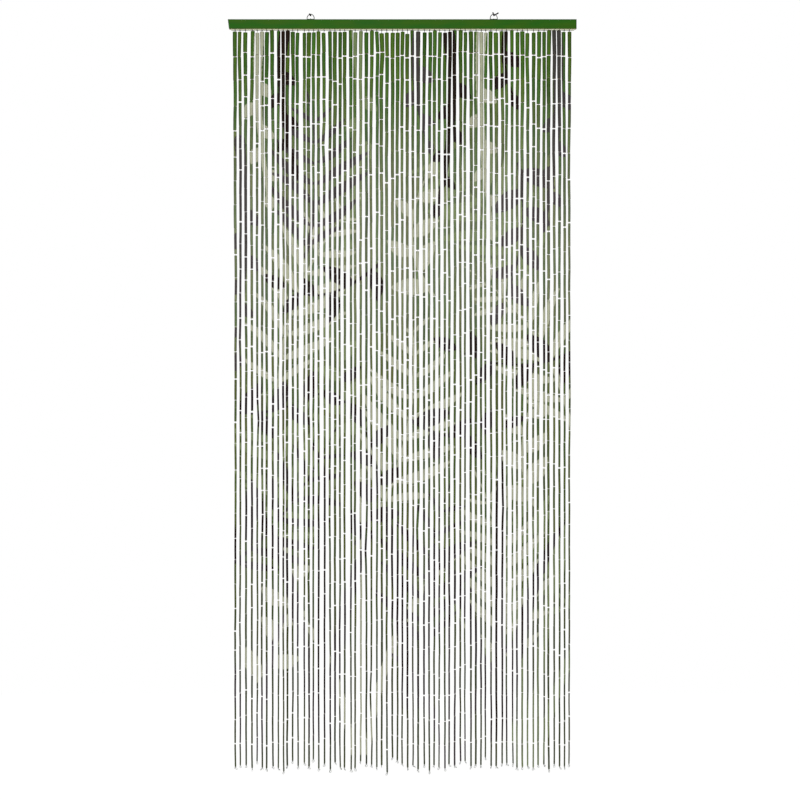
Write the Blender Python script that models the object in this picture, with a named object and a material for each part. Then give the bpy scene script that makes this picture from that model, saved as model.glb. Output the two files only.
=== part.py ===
# A bamboo door curtain: 65 strands of painted bamboo tube that hang side by side from a wooden batten.
# Metres, +Z up. The front faces -Y. The origin is the centre of the batten's back face, on the wall plane.
import math
import random

import bmesh
import bpy
from mathutils import Matrix, Vector

# Batten
BATTEN_LENGTH = 0.900
BATTEN_HEIGHT = 0.025
BATTEN_DEPTH = 0.012
BATTEN_EDGE = 0.0008
BATTEN_END_SLANT = 0.003
BATTEN_TOP = BATTEN_HEIGHT / 2
CURTAIN_Y = -BATTEN_DEPTH / 2

# Root strip under the batten, which holds the strands
SEAT_GAP = 0.0003
STRIP_LEFT = -0.442
STRIP_RIGHT = 0.444
STRIP_HEIGHT = 0.0022
STRIP_DEPTH = 0.009
STRIP_BOTTOM = -BATTEN_HEIGHT / 2 - SEAT_GAP - STRIP_HEIGHT

# Strands: how they are spaced, and the tubes that are threaded on each
STRANDS = 65
FIRST_STRAND = -0.430
LAST_STRAND = 0.433
TUBES = 31
TUBE_LENGTH = 0.05905
TUBE_GAP = 0.0022
ROOT_LINE = 0.0042
LINE_WIDTH = 0.0016
TAIL_LENGTH = 0.0085

# Each strand is one cane cut up in order, so its tubes grow thinner downwards from a flared butt
CANE_TOP = 0.0069
CANE_TIP = 0.0033
CANE_FLARE = 0.0024
FLARE_LENGTH = 0.20
STRAND_LENGTH = TUBES * TUBE_LENGTH + (TUBES - 1) * TUBE_GAP

# How uneven they are: each is the standard deviation of a value that stays within two of them
SEED = 65
HOLE_SPREAD = 0.0012
CANE_SPREAD = 0.11
LENGTH_SPREAD = 0.0011
GAP_SPREAD = 0.0008
ROOT_SPREAD = 0.0012
SIDE_SPREAD = 0.0006
TOP_SIDE_SPREAD = 0.0010
TOP_JOINTS = 3
DEPTH_SPREAD = 0.0006
SIDE_KEPT = 0.4
LEAST_APART = 0.0011

# How far the joints drift up or down from their rows, most at half height, and how much of it the next one keeps
DRIFT_SEED = 5
DRIFT_SPREAD = 0.017
DRIFT_SHAPE = 0.8
DRIFT_KEPT = 0.975

# Where a strand bows or leans: the strand from the left, the joints from the top, and how far to the right
BOWS = [
    {"strand": 1, "first_joint": 1, "last_joint": 1, "right": -0.0030},
    {"strand": 1, "first_joint": 13, "last_joint": 13, "right": -0.0025},
    {"strand": 4, "first_joint": 17, "last_joint": 17, "right": 0.0035},
    {"strand": 13, "first_joint": 2, "last_joint": 2, "right": 0.0018},
    {"strand": 14, "first_joint": 2, "last_joint": 2, "right": -0.0018},
    {"strand": 17, "first_joint": 5, "last_joint": 5, "right": -0.0040},
    {"strand": 25, "first_joint": 22, "last_joint": 22, "right": -0.0035},
    {"strand": 26, "first_joint": 28, "last_joint": 28, "right": -0.0022},
    {"strand": 26, "first_joint": 30, "last_joint": 30, "right": 0.0022},
    {"strand": 27, "first_joint": 0, "last_joint": 5, "right": 0.0018},
    {"strand": 28, "first_joint": 0, "last_joint": 5, "right": -0.0016},
    {"strand": 35, "first_joint": 10, "last_joint": 10, "right": -0.0032},
    {"strand": 35, "first_joint": 21, "last_joint": 21, "right": -0.0028},
    {"strand": 51, "first_joint": 20, "last_joint": 20, "right": 0.0034},
    {"strand": 53, "first_joint": 31, "last_joint": 31, "right": 0.0028},
]

# What the solids keep of a strand: a four-sided bar, necked at these joints
NECKED_JOINTS = (5, 10, 15, 20, 25)
BAR_SHARE = 0.94

# D-rings, staples and screw hooks
RING_X = (-0.2365, 0.2365)
RING_WIRE = 0.0016
RING_WIDTH = 0.020
RING_HEIGHT = 0.0145
RING_CORNER = 0.0020
RING_CORNER_STEPS = 3
RING_ARC_STEPS = 16
STAPLE_WIRE = 0.0012
STAPLE_WIDTH = 0.0020
STAPLE_DEPTH = 0.008
HOOK_WIRE = 0.0026
HOOK_THREAD = 0.018
HOOK_BEND = 0.0030
HOOK_BEND_STEPS = 6
HOOK_POINT_START = 0.85
HOOK_POINT_SHARE = 0.25
# How each hook's tip leans to the right and how long it is, and how far its thread veers right and up
HOOKS = {
    "left": {"turn": math.radians(-50), "tip": 0.0012, "veer": (-0.0034, 0.0070)},
    "right": {"turn": math.radians(-22), "tip": 0.0046, "veer": (0.0136, 0.0120)},
}
RING_BAR_Z = BATTEN_TOP + SEAT_GAP + RING_WIRE / 2
HOOK_Z = BATTEN_TOP + SEAT_GAP + RING_HEIGHT - RING_WIRE - SEAT_GAP - HOOK_WIRE / 2


def clear_scene():
    for obj in list(bpy.data.objects):
        bpy.data.objects.remove(obj)


def material(name, colour, roughness, metallic=0.0):
    made = bpy.data.materials.new(name)
    made.use_nodes = True
    shader = made.node_tree.nodes["Principled BSDF"]
    shader.inputs["Base Color"].default_value = (*colour, 1.0)
    shader.inputs["Roughness"].default_value = roughness
    shader.inputs["Metallic"].default_value = metallic
    return made


def add_object(name, data, finish):
    obj = bpy.data.objects.new(name, data)
    obj.data.materials.append(finish)
    bpy.context.scene.collection.objects.link(obj)
    return obj


def mesh_object(name, bm, finish):
    bmesh.ops.recalc_face_normals(bm, faces=bm.faces)
    mesh = bpy.data.meshes.new(name)
    bm.to_mesh(mesh)
    bm.free()
    return add_object(name, mesh, finish)


def box_mesh(size, centre):
    bm = bmesh.new()
    place = Matrix.Translation(centre) @ Matrix.Diagonal((*size, 1.0))
    bmesh.ops.create_cube(bm, size=1.0, matrix=place)
    return bm


def uneven(chance, spread):
    """A random offset with this standard deviation, never more than two of them."""
    return max(-2 * spread, min(2 * spread, chance.gauss(0, spread)))


def cane_width(depth):
    """A cane's diameter this far below its first tube's top."""
    share = depth / STRAND_LENGTH
    return CANE_TOP + (CANE_TIP - CANE_TOP) * share + CANE_FLARE * math.exp(-depth / FLARE_LENGTH)


def bow(number, joint):
    """How far to the right the table of bows moves this joint of this strand."""
    return sum(
        row["right"]
        for row in BOWS
        if row["strand"] == number and row["first_joint"] <= joint <= row["last_joint"]
    )


def strand_plan(number, chance):
    """One strand: its cane's thickness, the (top, bottom) of each tube, and each joint's (x, y)."""
    pitch = (LAST_STRAND - FIRST_STRAND) / (STRANDS - 1)
    hole = FIRST_STRAND + number * pitch + uneven(chance, HOLE_SPREAD)
    thickness = 1 + uneven(chance, CANE_SPREAD)
    top = STRIP_BOTTOM - ROOT_LINE - uneven(chance, ROOT_SPREAD)
    tubes, joints = [], []
    side = sway = 0.0
    for joint in range(TUBES + 1):
        spread = SIDE_SPREAD + TOP_SIDE_SPREAD * math.exp(-joint / TOP_JOINTS)
        side = SIDE_KEPT * side + uneven(chance, spread)
        sway = SIDE_KEPT * sway + uneven(chance, DEPTH_SPREAD)
        joints.append([hole + side + bow(number, joint), CURTAIN_Y + sway])
        bottom = top - TUBE_LENGTH - uneven(chance, LENGTH_SPREAD)
        if joint < TUBES:
            tubes.append((top, bottom))
        top = bottom - TUBE_GAP - uneven(chance, GAP_SPREAD)
    return {"hole": hole, "thickness": thickness, "tubes": tubes, "joints": joints}


def part_neighbours(plans):
    """Pushes neighbouring strands apart at each joint until the tubes there clear each other."""
    for joint in range(TUBES + 1):
        width = cane_width(joint * (TUBE_LENGTH + TUBE_GAP))
        for _ in range(STRANDS):
            for left, right in zip(plans, plans[1:]):
                need = width * (left["thickness"] + right["thickness"]) / 2 + LEAST_APART
                lack = need - (right["joints"][joint][0] - left["joints"][joint][0])
                if lack > 0:
                    left["joints"][joint][0] -= lack / 2
                    right["joints"][joint][0] += lack / 2


def let_rows_drift(plans):
    """Moves each strand's joints up or down, as its cane is cut to uneven lengths but the strands end level."""
    chance = random.Random(DRIFT_SEED)
    for plan in plans:
        drift = chance.gauss(0, 1)
        for joint in range(1, TUBES):
            drift = DRIFT_KEPT * drift + math.sqrt(1 - DRIFT_KEPT**2) * chance.gauss(0, 1)
            spread = DRIFT_SPREAD * math.sin(math.pi * joint / TUBES) ** DRIFT_SHAPE
            shift = max(-2.0, min(2.0, drift)) * spread
            above, below = plan["tubes"][joint - 1], plan["tubes"][joint]
            plan["tubes"][joint - 1] = (above[0], above[1] + shift)
            plan["tubes"][joint] = (below[0] + shift, below[1])


def strand_plans():
    chance = random.Random(SEED)
    plans = [strand_plan(number, chance) for number in range(STRANDS)]
    part_neighbours(plans)
    let_rows_drift(plans)
    return plans


def bar_sections(number, plan):
    """The (x, y, z, width) of each section of a strand's bar, from its first tube down to its tail."""
    tubes, joints = plan["tubes"], plan["joints"]
    first_top = tubes[0][0]
    bent = set()
    for row in BOWS:
        if row["strand"] == number:
            first, last = row["first_joint"], row["last_joint"]
            bent.update((first - 1, first, last, last + 1))

    def bar_width(z):
        return BAR_SHARE * plan["thickness"] * cane_width(first_top - z)

    sections = [(*joints[0], first_top, bar_width(first_top))]
    for joint in range(1, TUBES):
        above, below = tubes[joint - 1][1], tubes[joint][0]
        middle = (above + below) / 2
        if joint in NECKED_JOINTS:
            sections.append((*joints[joint], above, bar_width(above)))
            sections.append((*joints[joint], middle, LINE_WIDTH))
            sections.append((*joints[joint], below, bar_width(below)))
        elif joint in bent:
            sections.append((*joints[joint], middle, bar_width(middle)))
    end = tubes[-1][1]
    sections.append((*joints[TUBES], end, bar_width(end)))
    sections.append((*joints[TUBES], end - TAIL_LENGTH, LINE_WIDTH))
    return sections


def square_corners(x, y, z, width):
    half = width / 2
    return [Vector((x + i * half, y + j * half, z)) for i, j in ((-1, -1), (1, -1), (1, 1), (-1, 1))]


def bridge(bm, upper, lower):
    """Side faces between two rings of four vertices."""
    for k in range(4):
        n = (k + 1) % 4
        bm.faces.new((upper[k], upper[n], lower[n], lower[k]))


def make_strands(finish):
    """The root strip with every strand's bar grown out of its underside, as one closed skin."""
    bm = bmesh.new()
    plans = strand_plans()
    holes = [plan["hole"] for plan in plans]
    cuts = [STRIP_LEFT, *[(a + b) / 2 for a, b in zip(holes, holes[1:])], STRIP_RIGHT]
    front, back = CURTAIN_Y - STRIP_DEPTH / 2, CURTAIN_Y + STRIP_DEPTH / 2
    low, high = STRIP_BOTTOM, STRIP_BOTTOM + STRIP_HEIGHT
    outline = ((front, low), (back, low), (back, high), (front, high))
    rims = [[bm.verts.new((x, y, z)) for y, z in outline] for x in cuts]
    bm.faces.new(rims[0])
    bm.faces.new(rims[-1])
    for number, plan in enumerate(plans):
        left, right = rims[number], rims[number + 1]
        for k in (1, 2, 3):
            n = (k + 1) % 4
            bm.faces.new((left[k], left[n], right[n], right[k]))
        root = square_corners(plan["hole"], CURTAIN_Y, STRIP_BOTTOM, LINE_WIDTH)
        ring = [bm.verts.new(corner) for corner in root]
        bridge(bm, [left[0], right[0], right[1], left[1]], ring)
        for section in bar_sections(number, plan):
            lower = [bm.verts.new(corner) for corner in square_corners(*section)]
            bridge(bm, ring, lower)
            ring = lower
        bm.faces.new(ring)
    return mesh_object("strands", bm, finish)


def cut(target, name, bm):
    """Takes a cutter's shape out of the target with a Boolean."""
    bmesh.ops.recalc_face_normals(bm, faces=bm.faces)
    mesh = bpy.data.meshes.new(name)
    bm.to_mesh(mesh)
    bm.free()
    cutter = bpy.data.objects.new(name, mesh)
    bpy.context.scene.collection.objects.link(cutter)
    cutter.hide_render = True
    cutter.display_type = "WIRE"
    modifier = target.modifiers.new(name, "BOOLEAN")
    modifier.operation = "DIFFERENCE"
    modifier.object = cutter


def staple_legs():
    """How far the centre of each leg of a staple lies in front of and behind its ring."""
    reach = RING_WIRE / 2 + SEAT_GAP + STAPLE_WIRE / 2
    return (-reach, reach)


def make_batten(finish):
    """The lath, sawn off a little aslant at its left end."""
    bm = box_mesh((BATTEN_LENGTH, BATTEN_DEPTH, BATTEN_HEIGHT), (0, CURTAIN_Y, 0))
    for vert in bm.verts:
        if vert.co.x < 0 and vert.co.z < 0:
            vert.co.x += BATTEN_END_SLANT
    batten = mesh_object("batten", bm, finish)
    eased = batten.modifiers.new("eased edges", "BEVEL")
    eased.width = BATTEN_EDGE
    eased.segments = 2
    depth = STAPLE_DEPTH + SEAT_GAP
    for side, x in zip(HOOKS, RING_X):
        for end, reach in zip(("front", "back"), staple_legs()):
            size = (STAPLE_WIDTH + 2 * SEAT_GAP, STAPLE_WIRE + 2 * SEAT_GAP, 2 * depth)
            cut(batten, f"slot_{side}_{end}", box_mesh(size, (x, CURTAIN_Y + reach, BATTEN_TOP)))
    return batten


def wire_object(name, points, wire, finish, closed=False, radii=None):
    """Round wire along these points."""
    curve = bpy.data.curves.new(name, "CURVE")
    curve.dimensions = "3D"
    curve.bevel_depth = wire / 2
    curve.bevel_resolution = 2
    curve.use_fill_caps = True
    line = curve.splines.new("POLY")
    line.points.add(len(points) - 1)
    line.use_cyclic_u = closed
    for k, point in enumerate(points):
        line.points[k].co = (*point, 1.0)
        line.points[k].radius = radii[k] if radii else 1.0
    return add_object(name, curve, finish)


def arc(across, up, reach, rise, start, end, steps):
    """Points along part of an ellipse, from its start angle up to but without its end angle, in degrees."""
    angles = [math.radians(start + (end - start) * step / steps) for step in range(steps)]
    return [(across + reach * math.cos(angle), up + rise * math.sin(angle)) for angle in angles]


def ring_outline():
    """The middle of a D-ring's wire as (across, up) from the middle of its straight bar."""
    half = (RING_WIDTH - RING_WIRE) / 2
    flat = half - RING_CORNER
    rise = RING_HEIGHT - RING_WIRE - RING_CORNER
    return [
        *arc(flat, RING_CORNER, RING_CORNER, RING_CORNER, -90, 0, RING_CORNER_STEPS),
        *arc(0.0, RING_CORNER, half, rise, 0, 180, RING_ARC_STEPS),
        *arc(-flat, RING_CORNER, RING_CORNER, RING_CORNER, 180, 270, RING_CORNER_STEPS),
        (-flat, 0.0),
    ]


def make_ring(side, x, finish):
    points = [(x + across, CURTAIN_Y, RING_BAR_Z + up) for across, up in ring_outline()]
    return wire_object(f"dring_{side}", points, RING_WIRE, finish, closed=True)


def make_staple(side, x, finish):
    """An upside-down U across the ring's bar, with both legs in the batten."""
    inner = RING_WIRE / 2 + SEAT_GAP
    outer = inner + STAPLE_WIRE
    under = RING_BAR_Z + inner
    over = under + STAPLE_WIRE
    foot = BATTEN_TOP - STAPLE_DEPTH
    outline = [
        (-outer, foot), (-inner, foot), (-inner, under), (inner, under),
        (inner, foot), (outer, foot), (outer, over), (-outer, over),
    ]
    bm = bmesh.new()
    face = bm.faces.new([bm.verts.new((x - STAPLE_WIDTH / 2, CURTAIN_Y + y, z)) for y, z in outline])
    swept = bmesh.ops.extrude_face_region(bm, geom=[face])
    moved = [item for item in swept["geom"] if isinstance(item, bmesh.types.BMVert)]
    bmesh.ops.translate(bm, vec=(STAPLE_WIDTH, 0, 0), verts=moved)
    return mesh_object(f"staple_{side}", bm, finish)


def make_hook(side, x, finish):
    """A screw hook: its pointed thread goes back into the wall, and its bend holds the ring from below."""
    hook = HOOKS[side]
    front = CURTAIN_Y - RING_WIRE / 2 - SEAT_GAP
    back = CURTAIN_Y + RING_WIRE / 2 + SEAT_GAP + HOOK_WIRE / 2
    veer = Vector((hook["veer"][0], HOOK_THREAD - back, hook["veer"][1]))
    points = [Vector((x, back, HOOK_Z)) + veer * share for share in (1.0, HOOK_POINT_START, 0.0)]
    profile = [(0.0, 0.0)]
    for step in range(1, HOOK_BEND_STEPS + 1):
        angle = math.pi / 2 * step / HOOK_BEND_STEPS
        profile.append((HOOK_BEND * math.sin(angle), HOOK_BEND * (1 - math.cos(angle))))
    profile.append((HOOK_BEND, HOOK_BEND + hook["tip"]))
    across, along = math.sin(hook["turn"]), math.cos(hook["turn"])
    points += [Vector((x + up * across, front - out, HOOK_Z + up * along)) for out, up in profile]
    radii = [HOOK_POINT_SHARE] + [1.0] * (len(points) - 1)
    return wire_object(f"hook_{side}", points, HOOK_WIRE, finish, radii=radii)


def main():
    clear_scene()
    green = material("green_paint", (0.033, 0.117, 0.014), 0.45)
    bamboo = material("painted_bamboo", (0.09, 0.17, 0.06), 0.5)
    bright = material("bright_wire", (0.62, 0.60, 0.56), 0.3, 1.0)
    black = material("black_wire", (0.03, 0.028, 0.028), 0.4, 1.0)
    make_batten(green)
    make_strands(bamboo)
    for side, x in zip(HOOKS, RING_X):
        make_ring(side, x, bright)
        make_staple(side, x, bright)
        make_hook(side, x, black)


main()
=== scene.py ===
# The looks of a bamboo door curtain: painted tubes on clear line, under a green lath with two wire rings.
import math
import random
from collections import namedtuple

import bmesh
import bpy
import numpy as np
from mathutils import Matrix, Vector


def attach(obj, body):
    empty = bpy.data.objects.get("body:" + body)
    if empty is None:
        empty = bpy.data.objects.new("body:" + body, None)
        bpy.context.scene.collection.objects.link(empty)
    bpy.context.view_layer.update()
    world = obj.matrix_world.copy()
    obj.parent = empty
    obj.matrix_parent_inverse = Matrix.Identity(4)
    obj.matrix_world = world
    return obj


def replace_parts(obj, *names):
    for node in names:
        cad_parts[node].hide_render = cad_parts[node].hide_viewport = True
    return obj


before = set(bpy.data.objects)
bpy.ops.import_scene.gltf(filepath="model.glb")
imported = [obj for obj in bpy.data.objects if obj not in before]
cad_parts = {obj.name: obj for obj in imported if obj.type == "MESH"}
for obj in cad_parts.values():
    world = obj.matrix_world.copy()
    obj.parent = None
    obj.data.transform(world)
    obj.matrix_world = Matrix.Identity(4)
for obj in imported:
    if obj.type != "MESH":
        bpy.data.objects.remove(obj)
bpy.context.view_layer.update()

# Batten, as in the part
BATTEN_LENGTH = 0.900
BATTEN_END_SLANT = 0.003
BATTEN_HEIGHT = 0.025
BATTEN_DEPTH = 0.012
BATTEN_TOP = BATTEN_HEIGHT / 2
CURTAIN_Y = -BATTEN_DEPTH / 2

# Root strip, as in the part
SEAT_GAP = 0.0003
STRIP_LEFT = -0.442
STRIP_RIGHT = 0.444
STRIP_HEIGHT = 0.0022
STRIP_DEPTH = 0.009
STRIP_BOTTOM = -BATTEN_HEIGHT / 2 - SEAT_GAP - STRIP_HEIGHT
STRIP_EDGE = 0.0004

# Strands, as in the part
STRANDS = 65
FIRST_STRAND = -0.430
LAST_STRAND = 0.433
TUBES = 31
TUBE_LENGTH = 0.05905
TUBE_GAP = 0.0022
ROOT_LINE = 0.0042
CANE_TOP = 0.0069
CANE_TIP = 0.0033
CANE_FLARE = 0.0024
FLARE_LENGTH = 0.20
STRAND_LENGTH = TUBES * TUBE_LENGTH + (TUBES - 1) * TUBE_GAP
SEED = 65
HOLE_SPREAD = 0.0012
CANE_SPREAD = 0.11
LENGTH_SPREAD = 0.0011
GAP_SPREAD = 0.0008
ROOT_SPREAD = 0.0012
SIDE_SPREAD = 0.0006
TOP_SIDE_SPREAD = 0.0010
TOP_JOINTS = 3
DEPTH_SPREAD = 0.0006
SIDE_KEPT = 0.4
LEAST_APART = 0.0011
DRIFT_SEED = 5
DRIFT_SPREAD = 0.017
DRIFT_SHAPE = 0.8
DRIFT_KEPT = 0.975
BOWS = [  # strand, first joint, last joint, metres to the right
    (1, 1, 1, -0.0030),
    (1, 13, 13, -0.0025),
    (4, 17, 17, 0.0035),
    (13, 2, 2, 0.0018),
    (14, 2, 2, -0.0018),
    (17, 5, 5, -0.0040),
    (25, 22, 22, -0.0035),
    (26, 28, 28, -0.0022),
    (26, 30, 30, 0.0022),
    (27, 0, 5, 0.0018),
    (28, 0, 5, -0.0016),
    (35, 10, 10, -0.0032),
    (35, 21, 21, -0.0028),
    (51, 20, 20, 0.0034),
    (53, 31, 31, 0.0028),
]

# Tubes: how finely each is modelled, and how its shape strays from a straight round pipe
TUBE_SIDES = 12
RING_PLACES = (0.0, 0.008, 0.11, 0.22, 0.33, 0.44, 0.56, 0.67, 0.78, 0.89, 0.992, 1.0)
RIM_EDGE = 0.00025
BORE_SHARE = 0.45
SHAPE_SEED = 31
SLACK = 0.00032
TUBE_BEND = 0.00025
SET_JOINTS = (0, 5, 10, 15, 20, 25, 31)  # those that the part's bars follow
WANDER_KEPT = 0.45
SLIP = 0.0024
TOP_SLIP = 0.0017
LEAST_ROOT = 0.0012
CANE_UNEVEN = 0.04
TOP_MIDDLE_TIP = (0.0, 0.5, 1.0)
CANE_FULL = (1.14, 1.13, 1.24)  # fuller than the part's canes by this, at the top, middle and tip
SPREAD_KEPT = (0.55, 0.85, 0.65)  # the share that is kept there of how much canes differ
LEAST_CLEAR = 0.0018
LEAST_GAP = 0.0006
GAP_RANGE = 0.0038
GAP_POWER = (0.8, 2.2)
EVEN_GAPS_FROM = 7
OVAL = 0.035
NODE_CHANCE = 0.10
NODE_BETWEEN = (0.3, 0.7)
NODE_RISE = 0.085
NODE_SHOULDER = 0.02
NODE_REACH = 0.025
STRAND_TONE = 0.4
TUBE_TONE = 0.35
HUE_MIDDLE = 0.45
HUE_SPREAD = 0.22

# How a piece of strands lies on its bake map
STRANDS_A_PIECE = 5
COLUMNS_A_STRAND = 4
TUBES_A_COLUMN = 8

# Where a tube's faces lie in its own cell of that map: a start and a size, as shares of the cell
OUTSIDE_ACROSS = (0.04, 0.72)
BORE_ACROSS = (0.82, 0.06)
RIM_ACROSS = (0.92, 0.06)
LENGTH_DOWN = (0.03, 0.94)
UPPER_RIM_DOWN = 0.05
LOWER_RIM_DOWN = 0.55
RIM_LENGTH = 0.4

# Line, ties and end loops
LINE_WIDTH = 0.0009
TIE_WIDTH = 0.0016
KNOT_WIDTH = 0.0024
LOOP_WIDTH = 0.0062
LOOP_LINE = 0.0012
LOOP_SEED = 7

# Rings, staples and hooks, as in the part but with fuller wire and the left hook set a little otherwise
RING_X = (-0.2365, 0.2365)
RING_WIRE = 0.0016
RING_WIDTH = 0.020
RING_HEIGHT = 0.0145
RING_CORNER = 0.0020
STAPLE_WIRE = 0.0012
STAPLE_DEPTH = 0.008
HOOK_WIRE = 0.0026
HOOK_THREAD = 0.018
HOOK_BEND = 0.0030
HOOKS = {  # the tip's lean and length, and how far the point lies to the right and up
    "left": (math.radians(-40), 0.0020, (-0.0026, 0.0056)),
    "right": (math.radians(-22), 0.0046, (0.0136, 0.0120)),
}
RING_BAR_Z = BATTEN_TOP + SEAT_GAP + RING_WIRE / 2
WIRE_FULL = 1.2
HOOK_FULL = 1.4
HOOK_Z = BATTEN_TOP + SEAT_GAP + RING_HEIGHT - RING_WIRE - SEAT_GAP - HOOK_WIRE / 2
HOOK_Z -= ((WIRE_FULL - 1) * RING_WIRE + (HOOK_FULL - 1) * HOOK_WIRE) / 2
HOOK_SIDES = 12
HOOK_RINGS = 120
THREAD_PITCH = 0.0011
THREAD_DEPTH = 0.00028
THREADED_SHARE = 0.7
STAPLE_POINT = 0.001

# Paint: linear colours, and how much of what is under it each ink hides
TOP_GROUND = ((0.036, 0.107, 0.012), (0.062, 0.116, 0.011))  # a cool and an olive green
LOWER_GROUNDS = [  # the same, and the heights between which the ground above turns into it
    ((0.104, 0.150, 0.070), (0.162, 0.176, 0.088), -0.06, -0.50),
    ((0.058, 0.096, 0.026), (0.092, 0.107, 0.028), -0.60, -1.00),
    ((0.038, 0.054, 0.020), (0.056, 0.062, 0.020), -1.30, -1.75),
]
RAW_BAMBOO = (0.52, 0.40, 0.22)
INKS = {
    "sage": ((0.200, 0.252, 0.115), 0.70),
    "pale": ((0.390, 0.402, 0.285), 0.92),
    "plum": ((0.046, 0.034, 0.041), 0.90),
    "dark": ((0.010, 0.004, 0.002), 0.99),
}
# Near-black green on the rings' bars and on the batten under them: the bars' paint, darkened as painted
# shade of the bar and its shadow.
BAR_PAINT_AND_SHADE = (0.004, 0.012, 0.003)
BAR_SMEARS_AND_SHADOWS = [  # dark paint and painted shadow of the ring's bar on the batten's top edge, under the rings: middle, reach and cover
    (-0.2365, 0.0100, 0.6),
    (0.2345, 0.0125, 1.0),
]
TONE_STRENGTH = 0.24
DULL_TO = 0.78  # how bright the paint still is at the lower of these heights
DULL_BETWEEN = (-1.60, -0.70)
RING_BRIGHT = (0.062, 0.059, 0.055)
RING_DULL = (0.008, 0.008, 0.007)
HOOK_BRIGHT = (0.012, 0.011, 0.011)
HOOK_DULL = (0.005, 0.004, 0.004)
# How high the rings' and staples' wire is dark with paint and painted shade.
PAINT_AND_SHADE_BELOW = BATTEN_TOP + 0.0026

# The painted motifs: hanging vines, ferns, leafy sprigs and tufts of grass.
# A place is (metres to the right of the batten's middle, metres below it), and the
# rows of VINES, FERNS and SPRIGS are Strokes, those of TUFTS Tufts.
STEM_WIDTH = 0.008
Stroke = namedtuple("Stroke", "ink root via tip width", defaults=[STEM_WIDTH])
Style = namedtuple("Style", "angle width_share paired spacing leaf first_leaf")
Tuft = namedtuple("Tuft", "ink root blades length fan width")
VINES = [
    ("dark", (0.118, 0.02), (0.15, 0.2), (0.095, 0.46), 0.028),
    ("dark", (-0.302, 0.02), (-0.33, 0.16), (-0.28, 0.36), 0.024),
    ("dark", (0.268, 0.02), (0.25, 0.1), (0.285, 0.18), 0.014),
    ("plum", (0.04, 0.02), (0.02, 0.15), (0.065, 0.3), 0.02),
    ("plum", (0.398, 0.02), (0.415, 0.24), (0.37, 0.5), 0.026),
    ("plum", (-0.42, 0.3), (-0.395, 0.55), (-0.425, 0.85), 0.024),
    ("pale", (-0.368, 0.02), (-0.385, 0.2), (-0.345, 0.44), 0.022),
    ("pale", (0.205, 0.02), (0.19, 0.22), (0.23, 0.52), 0.022),
    ("sage", (-0.118, 0.02), (-0.09, 0.25), (-0.14, 0.55), 0.024),
]
VINE_STYLE = Style(math.radians(48), 0.62, paired=False, spacing=0.06, leaf=0.062, first_leaf=0.35)
FERNS = [
    ("sage", (0.33, 0.66), (0.24, 0.44), (0.02, 0.34)),
    ("sage", (-0.2, 1.34), (-0.33, 1.16), (-0.36, 0.9)),
    ("pale", (-0.32, 0.96), (-0.31, 0.66), (-0.12, 0.46)),
    ("pale", (0.44, 1.06), (0.39, 0.78), (0.18, 0.64)),
    ("pale", (-0.06, 1.26), (0.06, 1.02), (0.02, 0.74)),
    ("pale", (0.25, 1.66), (0.3, 1.42), (0.2, 1.18)),
    ("plum", (-0.25, 0.6), (-0.2, 0.4), (-0.24, 0.2)),
    ("dark", (-0.45, 1.4), (-0.3, 1.3), (-0.18, 1.06)),
    ("sage", (0.45, 1.52), (0.3, 1.38), (0.24, 1.12)),
    ("dark", (0.06, 1.62), (0.04, 1.42), (0.12, 1.2)),
]
FERN_STYLE = Style(math.radians(54), 0.16, paired=True, spacing=0.058, leaf=0.165, first_leaf=0.06)
SPRIGS = [
    ("dark", (-0.06, 0.62), (-0.2, 0.74), (-0.3, 0.68)),
    ("dark", (0.45, 0.84), (0.3, 0.92), (0.14, 0.84)),
    ("dark", (-0.44, 1.00), (-0.3, 1.02), (-0.16, 0.92)),
    ("dark", (0.02, 1.02), (0.13, 1.1), (0.26, 1.04)),
    ("dark", (-0.12, 1.34), (-0.02, 1.2), (-0.1, 1.04)),
    ("plum", (0.3, 0.36), (0.34, 0.54), (0.26, 0.72)),
    ("pale", (0.08, 0.7), (-0.02, 0.56), (0.06, 0.4)),
    ("pale", (-0.38, 1.7), (-0.28, 1.58), (-0.3, 1.38)),
    ("pale", (0.34, 1.24), (0.28, 1.12), (0.34, 0.96)),
    ("sage", (-0.18, 1.1), (-0.12, 0.98), (-0.18, 0.82)),
]
SPRIG_STYLE = Style(math.radians(56), 0.46, paired=False, spacing=0.052, leaf=0.094, first_leaf=0.06)
TUFTS = [
    ("sage", (0.33, 1.94), 4, 0.85, 0.45, 0.044),
    ("pale", (-0.11, 1.88), 3, 0.8, 0.4, 0.036),
    ("plum", (0.13, 1.92), 3, 0.6, 0.4, 0.036),
    ("plum", (-0.39, 1.88), 2, 0.5, 0.2, 0.034),
    ("dark", (-0.21, 1.84), 3, 0.9, 0.22, 0.056),
    ("dark", (0.25, 1.84), 3, 0.86, 0.26, 0.054),
    ("dark", (0.03, 1.76), 2, 0.7, 0.1, 0.052),
]
MOTIF_SEED = 11
FAR_OUTSIDE = -0.05  # the depth inside a motif that is given to points farther from it than the margin
MARGIN = 0.0125
STROKE_STEPS = 48
AHEAD = 0.02  # how far along a stem its direction is taken
ANGLE_SPREAD = (0.85, 1.12)
LEAF_SPREAD = (0.88, 1.10)
LEAF_WIDTH_SPREAD = (0.92, 1.08)
LEAF_LOSS = 0.3
LEAF_CURL = 0.08
BLADE_SPREAD = (0.72, 1.0)
BLADE_LEAN = 0.08
OUTER_LOSS = 0.2
ROOT_REACH = 0.020
ARCH_AT = 0.62  # how far along a blade its arch is set, and how much of the lean it has there
ARCH_LEAN = 0.3
DROOP = 0.22

# Camera, in the photograph's frame of 800 x 800 pixels
PICTURE_SIDE = 800
METRES_A_PIXEL = BATTEN_LENGTH / 348.4
BATTEN_PIXEL = (402.2, 24.5)
CAMERA_DISTANCE = 4.5
SENSOR = 36.0

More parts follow.
